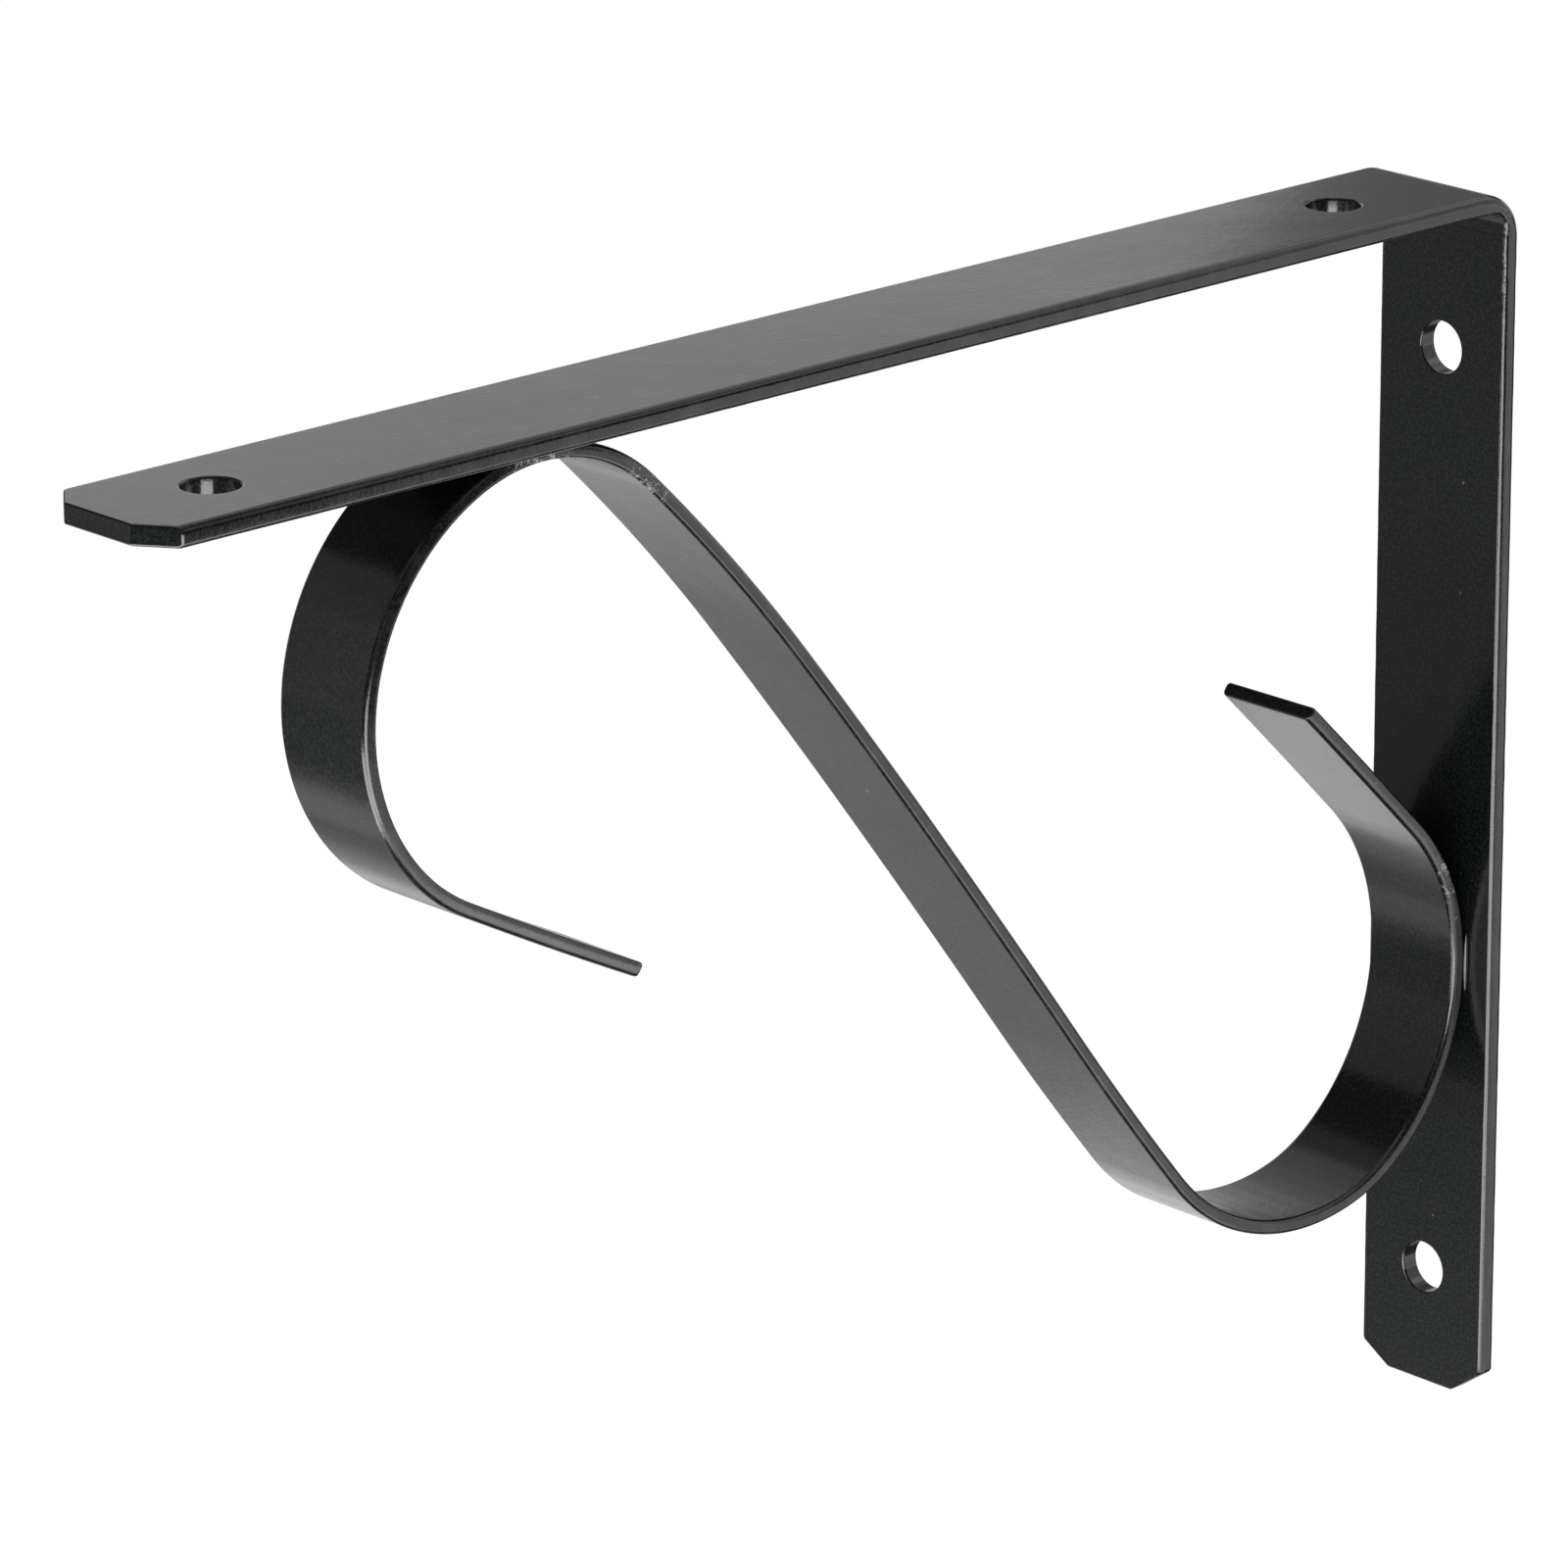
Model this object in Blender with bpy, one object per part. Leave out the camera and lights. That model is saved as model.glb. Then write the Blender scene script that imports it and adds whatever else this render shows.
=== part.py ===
"""Steel shelf bracket: a flat bar bent to a right angle, braced by a bent S-scroll strip.

Frame: +Z is up, the wall is at +Y and the arm reaches out to -Y. X runs across the bar. The origin
is on the leg's back face, on its centreline, midway between the two wall screw holes.
Lengths are in metres. Both pieces are made the way a smith makes them: a section that follows a
list of bends.
"""

import math

import bmesh
import bpy
from mathutils import Matrix, Vector

MM = 0.001

# Angle bar: sizes over the outside
BAR_WIDTH = 25.0 * MM
BAR_THICKNESS = 3.0 * MM
BAR_EDGE_RADIUS = 1.0 * MM
ARM_LENGTH = 255.0 * MM
LEG_HEIGHT = 190.0 * MM
BEND_INSIDE_RADIUS = 5.0 * MM

# Screw holes: one near each end of both limbs, measured along the bar from that end or from the corner
SCREW_HOLE_RADIUS = 4.0 * MM
SCREW_HOLE_RIM = 0.5 * MM
ARM_HOLE_FROM_END = 18.8 * MM
ARM_HOLE_FROM_CORNER = 26.5 * MM
LEG_HOLE_FROM_CORNER = 25.9 * MM
LEG_HOLE_FROM_END = 18.5 * MM

# Clipped corners of the free ends, as (across the bar, along the bar)
ARM_CLIP_LEFT = (5.7 * MM, 4.5 * MM)
ARM_CLIP_RIGHT = (5.7 * MM, 4.1 * MM)
LEG_CLIP_LEFT = (5.5 * MM, 3.4 * MM)
LEG_CLIP_RIGHT = (6.4 * MM, 4.5 * MM)

# Scroll strip
STRIP_WIDTH = 18.0 * MM
STRIP_THICKNESS = 2.2 * MM
STRIP_EDGE_RADIUS = 0.45 * MM
STRIP_OFF_CENTRE = -1.2 * MM
STRIP_START_HEADING = 153.5

# The strip's bends from its lower left tip to its upper right tip: (length, turn in degrees).
# Seen from +X with +Y to the right, a negative turn is clockwise.
LEFT_TAIL = [(34.5 * MM, -2.0)]
LEFT_CURL = [(40.5 * MM, -73.2), (33.0 * MM, -56.4), (31.5 * MM, -66.0)]
DIAGONAL = [(40.5 * MM, -7.0), (41.0 * MM, -1.5), (47.0 * MM, -1.0), (35.5 * MM, 3.0)]
RIGHT_CURL = [(40.5 * MM, 64.8), (8.0 * MM, 18.5), (60.0 * MM, 101.9)]
RIGHT_TAIL = [(33.0 * MM, 1.1)]

# The strip is welded on; the solids stay this far apart where they meet
WELD_GAP = 0.3 * MM

# Smoothness of the solids
BEND_STEP = 5.0
STRAIGHT_STEP = 60.0 * MM
CORNER_STEPS = 3
HOLE_SIDES = 40
RIM_STEPS = 3
END_ROUNDING = 0.25 * MM
END_ROUNDING_STEPS = 2
SHARP_ANGLE = 35.0

BEND_OUTSIDE_RADIUS = BEND_INSIDE_RADIUS + BAR_THICKNESS
TOP_HEIGHT = (LEG_HOLE_FROM_CORNER + LEG_HEIGHT - LEG_HOLE_FROM_END) / 2


def clear_scene():
    for obj in list(bpy.data.objects):
        bpy.data.objects.remove(obj)


def black_coat(name, colour, roughness):
    """Powder-coated steel: the coat hides the metal, so metallic stays at nought."""
    material = bpy.data.materials.new(name)
    material.use_nodes = True
    shader = material.node_tree.nodes["Principled BSDF"]
    shader.inputs["Base Color"].default_value = (*colour, 1.0)
    shader.inputs["Roughness"].default_value = roughness
    shader.inputs["Metallic"].default_value = 0.0
    return material


def rounded_section(width, thickness, radius):
    """Outline of a flat bar with rounded edges, as (across, through) points round its middle."""
    points = []
    for quarter, (side, face) in enumerate([(1, 1), (-1, 1), (-1, -1), (1, -1)]):
        centre_across = side * (width / 2 - radius)
        centre_through = face * (thickness / 2 - radius)
        for step in range(CORNER_STEPS + 1):
            angle = math.radians(90 * (quarter + step / CORNER_STEPS))
            across = centre_across + radius * math.cos(angle)
            through = centre_through + radius * math.sin(angle)
            points.append((across, through))
    return points


def bent_path(heading, runs):
    """Stations (y, z, heading) along runs of (length, turn in degrees), starting at y = z = 0."""
    y, z, angle = 0.0, 0.0, math.radians(heading)
    stations = [(y, z, angle)]
    for length, turn in runs:
        steps = max(math.ceil(abs(turn) / BEND_STEP), math.ceil(length / STRAIGHT_STEP))
        half_turn = math.radians(turn) / steps / 2
        chord = length / steps
        if half_turn:
            chord *= math.sin(half_turn) / half_turn
        for _ in range(steps):
            y += chord * math.cos(angle + half_turn)
            z += chord * math.sin(angle + half_turn)
            angle += 2 * half_turn
            stations.append((y, z, angle))
    return stations


def offset_point(station, distance):
    """The point beside a station, to the left of its direction of travel as seen from +X."""
    y, z, angle = station
    return y - distance * math.sin(angle), z + distance * math.cos(angle)


def sweep(section, stations):
    """A closed solid: the section follows the stations, square to them, and both ends are capped."""
    solid = bmesh.new()
    rings = []
    for station in stations:
        ring = []
        for across, through in section:
            y, z = offset_point(station, through)
            ring.append(solid.verts.new((across, y, z)))
        rings.append(ring)
    for ring, following in zip(rings, rings[1:]):
        for i in range(len(section)):
            j = (i + 1) % len(section)
            solid.faces.new((ring[i], ring[j], following[j], following[i]))
    solid.faces.new(rings[0])
    solid.faces.new(reversed(rings[-1]))
    bmesh.ops.recalc_face_normals(solid, faces=solid.faces)
    return solid


def clip(solid, point, outward):
    """Cuts off what lies beyond a plane and closes the cut."""
    geometry = solid.verts[:] + solid.edges[:] + solid.faces[:]
    cut = bmesh.ops.bisect_plane(
        solid, geom=geometry, plane_co=point, plane_no=outward, clear_outer=True
    )
    rim = [item for item in cut["geom_cut"] if isinstance(item, bmesh.types.BMEdge)]
    bmesh.ops.contextual_create(solid, geom=rim)


def round_ends(solid, ends):
    """Rounds the edges of the faces that point along any of the given directions."""
    directions = [Vector(end).normalized() for end in ends]
    edges = set()
    for face in solid.faces:
        if any(face.normal.dot(direction) > 0.999 for direction in directions):
            edges.update(face.edges)
    bmesh.ops.bevel(
        solid,
        geom=list(edges),
        offset=END_ROUNDING,
        segments=END_ROUNDING_STEPS,
        profile=0.5,
        affect="EDGES",
    )


def new_object(name, solid, material=None):
    bmesh.ops.recalc_face_normals(solid, faces=solid.faces)
    mesh = bpy.data.meshes.new(name)
    solid.to_mesh(mesh)
    solid.free()
    mesh.shade_smooth()
    mesh.set_sharp_from_angle(angle=math.radians(SHARP_ANGLE))
    if material:
        mesh.materials.append(material)
    obj = bpy.data.objects.new(name, mesh)
    bpy.context.collection.objects.link(obj)
    return obj


def hole_cutter(name, centre, turn):
    """A plug with flared ends, so that it leaves a hole with softly rounded rims on both faces."""
    half = BAR_THICKNESS / 2
    flare = SCREW_HOLE_RADIUS + SCREW_HOLE_RIM
    profile = [(flare, half + BAR_THICKNESS)]
    for step in range(RIM_STEPS + 1):
        angle = math.radians(90 * step / RIM_STEPS)
        radius = flare - SCREW_HOLE_RIM * math.sin(angle)
        height = half - SCREW_HOLE_RIM + SCREW_HOLE_RIM * math.cos(angle)
        profile.append((radius, height))
    profile += [(radius, -height) for radius, height in reversed(profile)]
    plug = bmesh.new()
    rings = []
    for radius, height in profile:
        ring = []
        for side in range(HOLE_SIDES):
            angle = 2 * math.pi * side / HOLE_SIDES
            ring.append(plug.verts.new((radius * math.cos(angle), radius * math.sin(angle), height)))
        rings.append(ring)
    for ring, following in zip(rings, rings[1:]):
        for i in range(HOLE_SIDES):
            j = (i + 1) % HOLE_SIDES
            plug.faces.new((ring[i], ring[j], following[j], following[i]))
    plug.faces.new(rings[0])
    plug.faces.new(reversed(rings[-1]))
    bmesh.ops.rotate(plug, verts=plug.verts, matrix=Matrix.Rotation(math.radians(turn), 3, "X"))
    cutter = new_object(name, plug)
    cutter.location = centre
    cutter.hide_render = True
    cutter.display_type = "WIRE"
    return cutter


def angle_bar(material, root):
    """One flat bar, bent once; its local origin is the outer corner, on the top and back faces."""
    middle = BAR_THICKNESS / 2
    bend_radius = BEND_OUTSIDE_RADIUS - middle
    runs = [
        (ARM_LENGTH - BEND_OUTSIDE_RADIUS, 0.0),
        (bend_radius * math.pi / 2, -90.0),
        (LEG_HEIGHT - BEND_OUTSIDE_RADIUS, 0.0),
    ]
    section = rounded_section(BAR_WIDTH, BAR_THICKNESS, BAR_EDGE_RADIUS)
    solid = sweep(section, bent_path(0.0, runs))
    bmesh.ops.translate(solid, verts=solid.verts, vec=(0.0, -ARM_LENGTH, -middle))

    half = BAR_WIDTH / 2
    ends = [(0.0, -1.0, 0.0), (0.0, 0.0, -1.0)]
    for side, (across, along) in [(-1, ARM_CLIP_LEFT), (1, ARM_CLIP_RIGHT)]:
        outward = (side * along, -across, 0.0)
        clip(solid, (side * half, along - ARM_LENGTH, 0.0), outward)
        ends.append(outward)
    for side, (across, along) in [(-1, LEG_CLIP_LEFT), (1, LEG_CLIP_RIGHT)]:
        outward = (side * along, 0.0, -across)
        clip(solid, (side * half, 0.0, along - LEG_HEIGHT), outward)
        ends.append(outward)
    bmesh.ops.recalc_face_normals(solid, faces=solid.faces)
    round_ends(solid, ends)

    bar = new_object("angle_bar", solid, material)
    bar.parent = root
    bar.location = (0.0, 0.0, TOP_HEIGHT)
    holes = [
        ("arm_end", (0.0, ARM_HOLE_FROM_END - ARM_LENGTH, -middle), 0.0),
        ("arm_root", (0.0, -ARM_HOLE_FROM_CORNER, -middle), 0.0),
        ("leg_root", (0.0, -middle, -LEG_HOLE_FROM_CORNER), 90.0),
        ("leg_end", (0.0, -middle, LEG_HOLE_FROM_END - LEG_HEIGHT), 90.0),
    ]
    for name, centre, turn in holes:
        cutter = hole_cutter("screw_hole_" + name, centre, turn)
        cutter.parent = bar
        cut = bar.modifiers.new("screw hole " + name, "BOOLEAN")
        cut.operation = "DIFFERENCE"
        cut.solver = "EXACT"
        cut.object = cutter
    return bar


def scroll_strip(material, root):
    """The S-scroll, pushed up against the arm's underside and back against the leg's front."""
    runs = LEFT_TAIL + LEFT_CURL + DIAGONAL + RIGHT_CURL + RIGHT_TAIL
    stations = bent_path(STRIP_START_HEADING, runs)
    section = rounded_section(STRIP_WIDTH, STRIP_THICKNESS, STRIP_EDGE_RADIUS)
    solid = sweep(section, stations)
    first, last = stations[0][2], stations[-1][2]
    bmesh.ops.recalc_face_normals(solid, faces=solid.faces)
    starts = (0.0, -math.cos(first), -math.sin(first))
    stops = (0.0, math.cos(last), math.sin(last))
    round_ends(solid, [starts, stops])

    half = STRIP_THICKNESS / 2
    highest = max(offset_point(station, half)[1] for station in stations)
    furthest_back = max(offset_point(station, -half)[0] for station in stations)
    strip = new_object("scroll_strip", solid, material)
    strip.parent = root
    clearance = BAR_THICKNESS + WELD_GAP
    strip.location = (
        STRIP_OFF_CENTRE,
        -clearance - furthest_back,
        TOP_HEIGHT - clearance - highest,
    )
    return strip


def build():
    clear_scene()
    root = bpy.data.objects.new("bracket", None)
    bpy.context.collection.objects.link(root)
    bar_coat = black_coat("bar_coat", (0.016, 0.016, 0.016), 0.42)
    strip_coat = black_coat("strip_coat", (0.018, 0.018, 0.018), 0.38)
    angle_bar(bar_coat, root)
    scroll_strip(strip_coat, root)


build()
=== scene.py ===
"""Looks of the black steel shelf bracket: steel pieces, welds, coat, floor and light."""

import math
from contextlib import contextmanager

import bmesh
import bpy
from bpy.props import FloatProperty, FloatVectorProperty, PointerProperty
from bpy.types import Operator, Panel, PropertyGroup
from mathutils import Matrix, Vector


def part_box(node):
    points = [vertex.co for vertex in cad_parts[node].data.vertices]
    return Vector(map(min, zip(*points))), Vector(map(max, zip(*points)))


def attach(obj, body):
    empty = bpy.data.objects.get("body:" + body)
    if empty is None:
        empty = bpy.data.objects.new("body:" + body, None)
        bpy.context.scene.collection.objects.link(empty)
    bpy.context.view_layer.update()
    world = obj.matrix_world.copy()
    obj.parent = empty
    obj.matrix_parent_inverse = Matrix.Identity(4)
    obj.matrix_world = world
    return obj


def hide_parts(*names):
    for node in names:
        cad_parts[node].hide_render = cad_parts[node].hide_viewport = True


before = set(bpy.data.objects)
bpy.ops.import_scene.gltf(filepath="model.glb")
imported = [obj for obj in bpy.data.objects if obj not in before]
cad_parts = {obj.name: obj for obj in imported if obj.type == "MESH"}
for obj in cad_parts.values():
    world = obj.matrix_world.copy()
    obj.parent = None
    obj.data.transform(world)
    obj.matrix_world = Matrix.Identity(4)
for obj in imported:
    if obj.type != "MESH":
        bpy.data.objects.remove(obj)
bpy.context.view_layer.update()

bl_info = {
    "name": "Scroll shelf bracket",
    "version": (1, 0, 0),
    "blender": (4, 5, 0),
    "location": "View3D > Sidebar > Bracket",
    "description": "Models a black steel shelf bracket with a welded S-scroll and sets up its studio",
    "category": "Add Mesh",
}

MM = 0.001

# How finely the pieces are divided
BEND_FACETS = 24
HOLE_SIDES = 64
HOLE_RIM_STEPS = 6
LONG_EDGE_SEGMENTS = 5
COAT_RING_STEP = 0.8 * MM

# Two directions count as the same where their dot product is above ALIGNED, and a face belongs to
# a cut end where its centre is within END_TOLERANCE of it
ALIGNED = 0.999
END_TOLERANCE = 0.1 * MM
SMOOTH_ANGLE = 32.0

# The swell falls to nought SWELL_HALF_TURN degrees from the bend's middle, and at the latest
# SWELL_PAST_BEND along the straight limbs
SWELL_HALF_TURN = 62.0
SWELL_PAST_BEND = 3 * MM

# The burr's middle lies BURR_DROP below the bend. It ends BURR_REACH from there, and fades out over
# the last BURR_FADE
BURR_DROP = 4 * MM
BURR_REACH = 12 * MM
BURR_FADE = 10 * MM

TIP_RADIUS = 0.3 * MM

# Strengths of the surroundings in reflections, of the white behind the bracket and of the floor
DIM_SURROUNDINGS = 0.06
WHITE_BACKGROUND = 1.0
FLOOR_GLOW = 0.95

BAR_LOW, BAR_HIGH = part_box("angle_bar")
STRIP_LOW, STRIP_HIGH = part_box("scroll_strip")
BRACKET_MIDDLE = (BAR_LOW + BAR_HIGH) / 2

# The strip's bends from its lower left tip to its upper right tip: (length in mm, turn in degrees).
# Seen from +X with +Y to the right, a negative turn is clockwise.
STRIP_START_HEADING = 153.5
STRIP_RUNS = [
    (34.5, -2.0),
    (40.5, -73.2),
    (33.0, -56.4),
    (31.5, -66.0),
    (40.5, -7.0),
    (41.0, -1.5),
    (47.0, -1.0),
    (35.5, 3.0),
    (40.5, 64.8),
    (8.0, 18.5),
    (60.0, 101.9),
    (33.0, 1.1),
]

# Clipped corners of the bar's free ends: (side, across in mm, along in mm)
ARM_CLIPS = [(-1, 5.7, 4.5), (1, 5.7, 4.1)]
LEG_CLIPS = [(-1, 5.5, 3.4), (1, 6.4, 4.5)]

# Where the strip touches the arm's underside (y) and the leg's front (z), in mm
ARM_CONTACT = -185.3
LEG_CONTACT = -21.3

# Rubbed spots on the edges, near the welds and along the burr inside the bend, where the bar's spot is
# partly rubbed coat and partly a painted highlight: (y, z, reach along y, reach along z) in mm
STRIP_RUBS = [(-186.0, 94.0, 7.0, 7.0), (-166.0, 88.0, 6.0, 6.0), (-6.5, -6.5, 4.5, 6.0)]
# The bar's spot along the burr: partly rubbed coat, partly a painted highlight on the edge.
BAR_RUBS_AND_HIGHLIGHT = [(-3.3, 85.0, 0.8, 10.0)]

# Every face that runs along X mirrors one spot of a ring about 45 degrees off the -X axis, so the soft
# panels that light those faces stand round there: (name, first turn, last turn, swing, brightness).
# The swing is in degrees off -X. Turns are in degrees about X: 0 is in front at -Y, 90 above, 180
# behind at +Y and 270 below. One panel stands in each RING_STEP degrees.
MIRRORED_SWING = 45.0
RING_STEP = 10.0
RING_PANELS = [
    ("front_wall", -10, 50, 45, 0.29),
    ("front_wall_low", -30, -10, 45, 0.20),
    ("front_wall_far", -110, 30, 66, 0.40),
    ("front_foot", -40, -30, 45, 0.15),
    ("front_floor_near", -50, -40, 45, 0.30),
    ("front_floor", -70, -50, 45, 0.80),
    ("under_floor", -90, -70, 45, 0.38),
    ("middle_floor", 250, 270, 45, 0.55),
    ("back_floor", 230, 250, 45, 0.84),
    ("back_floor_far", 210, 250, 64, 0.60),
    ("back_foot", 210, 230, 45, 0.45),
    ("back_wall_low", 190, 210, 45, 0.45),
    ("back_wall", 150, 190, 38, 0.88),
    ("back_wall_far", 130, 210, 68, 0.25),
    ("back_wall_high", 130, 150, 38, 0.70),
    ("back_wall_top", 110, 130, 38, 0.68),
    ("high_wall", 90, 110, 38, 0.25),
]

# Panels that the narrow sides and the rounded edges mirror, and larger ones that fill in the front,
# the top, the back and the left. Each faces the bracket's middle:
# (name, place in metres, width and height in metres, brightness)
SIDE_PANELS = [
    ("key_front", (0.36, -0.38, -0.12), 0.34, 0.27, 8.5),
    ("key_left", (0.00, -0.52, -0.22), 0.44, 0.28, 8.0),
    ("key_front_low", (0.42, -0.45, -0.45), 0.50, 0.26, 3.5),
    ("key_side", (0.56, 0.00, -0.30), 0.46, 0.30, 1.5),
    ("key_back", (0.53, 0.14, -0.53), 0.55, 0.42, 2.0),
    ("side_wall", (0.50, 0.46, -0.20), 0.42, 0.50, 1.30),
    ("side_high", (0.30, 0.56, 0.30), 0.60, 0.66, 0.95),
    ("high_back", (-0.10, 0.40, 0.60), 0.80, 0.40, 0.90),
    ("side_top", (0.75, 0.25, 0.65), 0.60, 0.50, 0.50),
    ("fill_front", (1.10, -1.25, 0.50), 1.00, 0.50, 0.28),
    ("fill_top", (0.00, -0.10, 1.50), 1.60, 1.60, 0.90),
    ("fill_back", (-0.10, 1.60, 0.10), 1.10, 0.80, 0.90),
    ("fill_left", (-1.50, -0.13, 0.00), 0.80, 0.80, 0.80),
]


# Working in edit mode


def activate(obj):
    bpy.ops.object.select_all(action="DESELECT")
    obj.select_set(True)
    bpy.context.view_layer.objects.active = obj


@contextmanager
def editing(obj):
    activate(obj)
    bpy.ops.object.mode_set(mode="EDIT")
    yield
    bpy.ops.object.mode_set(mode="OBJECT")


def pick(obj, kind, test):
    """Selects just the points, edges or faces that pass the test, in edit mode."""
    bpy.ops.mesh.select_mode(type={"verts": "VERT", "edges": "EDGE", "faces": "FACE"}[kind])
    bpy.ops.mesh.select_all(action="DESELECT")
    mesh = bmesh.from_edit_mesh(obj.data)
    for item in getattr(mesh, kind):
        if test(item):
            item.select_set(True)
    mesh.select_flush_mode()
    bmesh.update_edit_mesh(obj.data)


def faces_towards(direction):
    wanted = Vector(direction).normalized()
    return lambda face: face.normal.dot(wanted) > ALIGNED


def edges_along(direction):
    wanted = Vector(direction).normalized()

    def test(edge):
        span = edge.verts[1].co - edge.verts[0].co
        return abs(span.normalized().dot(wanted)) > ALIGNED

    return test


def apply_modifier(obj, kind, **settings):
    """Adds a modifier, sets it up and applies it."""
    activate(obj)
    modifier = obj.modifiers.new(kind.lower(), kind)
    for name, value in settings.items():
        setattr(modifier, name, value)
    bpy.ops.object.modifier_apply(modifier=modifier.name)


def settle(obj):
    """Puts a piece's place into its mesh, so that its object sits at the origin."""
    activate(obj)
    bpy.ops.object.transform_apply(location=True, rotation=True, scale=True)


def weigh(obj, group_name, weight_of):
    """A vertex group whose weights come from each point's place."""
    group = obj.vertex_groups.new(name=group_name)
    for point in obj.data.vertices:
        weight = weight_of(point.co)
        if weight > 0:
            group.add([point.index], min(weight, 1.0), "REPLACE")


def roughen(obj, group_name, grain, height):
    """Pushes the weighted points in and out by clouds of one grain size: coat that has run unevenly."""
    clouds = bpy.data.textures.new(f"{obj.name}_{group_name}", "CLOUDS")
    clouds.noise_scale = grain
    clouds.noise_depth = 2
    apply_modifier(
        obj,
        "DISPLACE",
        texture=clouds,
        texture_coords="LOCAL",
        strength=height,
        mid_level=0.5,
        vertex_group=group_name,
    )


def finish_piece(obj, material, slot, *nodes):
    """Smooth shading, the coat, and the piece's place in the frame."""
    activate(obj)
    bpy.ops.object.shade_smooth_by_angle(angle=math.radians(SMOOTH_ANGLE))
    apply_modifier(obj, "WEIGHTED_NORMAL", keep_sharp=True)
    obj.data.materials.clear()
    obj.data.materials.append(material)
    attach(obj, "root")
    if nodes:
        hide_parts(*nodes)


# Shader maths


class Field:
    """A number that varies over a surface. Arithmetic on it adds Math nodes."""

    def __init__(self, recipe, socket):
        self.recipe = recipe
        self.socket = socket

    def maths(self, operation, *values):
        return self.recipe.number("ShaderNodeMath", {"operation": operation}, list(values))

    def __add__(self, other):
        return self.maths("ADD", self, other)

    def __sub__(self, other):
        return self.maths("SUBTRACT", self, other)

    def __mul__(self, other):
        return self.maths("MULTIPLY", self, other)

    def __radd__(self, other):
        return self.maths("ADD", other, self)

    def __rsub__(self, other):
        return self.maths("SUBTRACT", other, self)

    def __rmul__(self, other):
        return self.maths("MULTIPLY", other, self)

    def size(self):
        return self.maths("ABSOLUTE", self)

    def most(self, other):
        return self.maths("MAXIMUM", self, other)

    def rise(self, low, high):
        """Nought below low, one above high and smooth between; it falls where low is above high."""
        return self.recipe.number(
            "ShaderNodeMapRange",
            {"interpolation_type": "SMOOTHSTEP"},
            {"Value": self, "From Min": low, "From Max": high},
        )


class Recipe:
    """The node tree of one material."""

    def __init__(self, name):
        self.material = bpy.data.materials.new(name)
        self.material.use_nodes = True
        self.tree = self.material.node_tree
        self.shader = self.tree.nodes["Principled BSDF"]
        self.place = self.node("ShaderNodeTexCoord").outputs["Object"]

    def node(self, kind, settings=None, inputs=None):
        made = self.tree.nodes.new(kind)
        for name, value in (settings or {}).items():
            setattr(made, name, value)
        pairs = enumerate(inputs) if isinstance(inputs, list) else (inputs or {}).items()
        for key, value in pairs:
            self.feed(made.inputs[key], value)
        return made

    def feed(self, socket, value):
        if isinstance(value, Field):
            value = value.socket
        if isinstance(value, bpy.types.NodeSocket):
            self.tree.links.new(value, socket)
        else:
            socket.default_value = value

    def number(self, kind, settings, inputs):
        return Field(self, self.node(kind, settings, inputs).outputs[0])

    def noise(self, grain, detail, roughness=0.5):
        """Cloudy noise from 0 to 1 with lumps about one grain across."""
        inputs = {"Vector": self.place, "Scale": 1 / grain, "Detail": detail, "Roughness": roughness}
        return self.number("ShaderNodeTexNoise", {}, inputs)

    def distance_to(self, centre, stretch):
        """How far a point lies from a centre, with each axis stretched."""
        offset = self.node("ShaderNodeVectorMath", {"operation": "SUBTRACT"}, [self.place, centre])
        scaled = self.node(
            "ShaderNodeVectorMath", {"operation": "MULTIPLY"}, [offset.outputs[0], stretch]
        )
        length = self.node("ShaderNodeVectorMath", {"operation": "LENGTH"}, [scaled.outputs[0]])
        return Field(self, length.outputs["Value"])

    def blend(self, factor, first, second):
        """From the first colour to the second; each is three numbers or a socket."""
        colours = [
            colour if isinstance(colour, bpy.types.NodeSocket) else (*colour, 1.0)
            for colour in (first, second)
        ]
        inputs = {0: factor, 6: colours[0], 7: colours[1]}
        return self.node("ShaderNodeMix", {"data_type": "RGBA"}, inputs).outputs[2]


# Settings that a user may change


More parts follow.
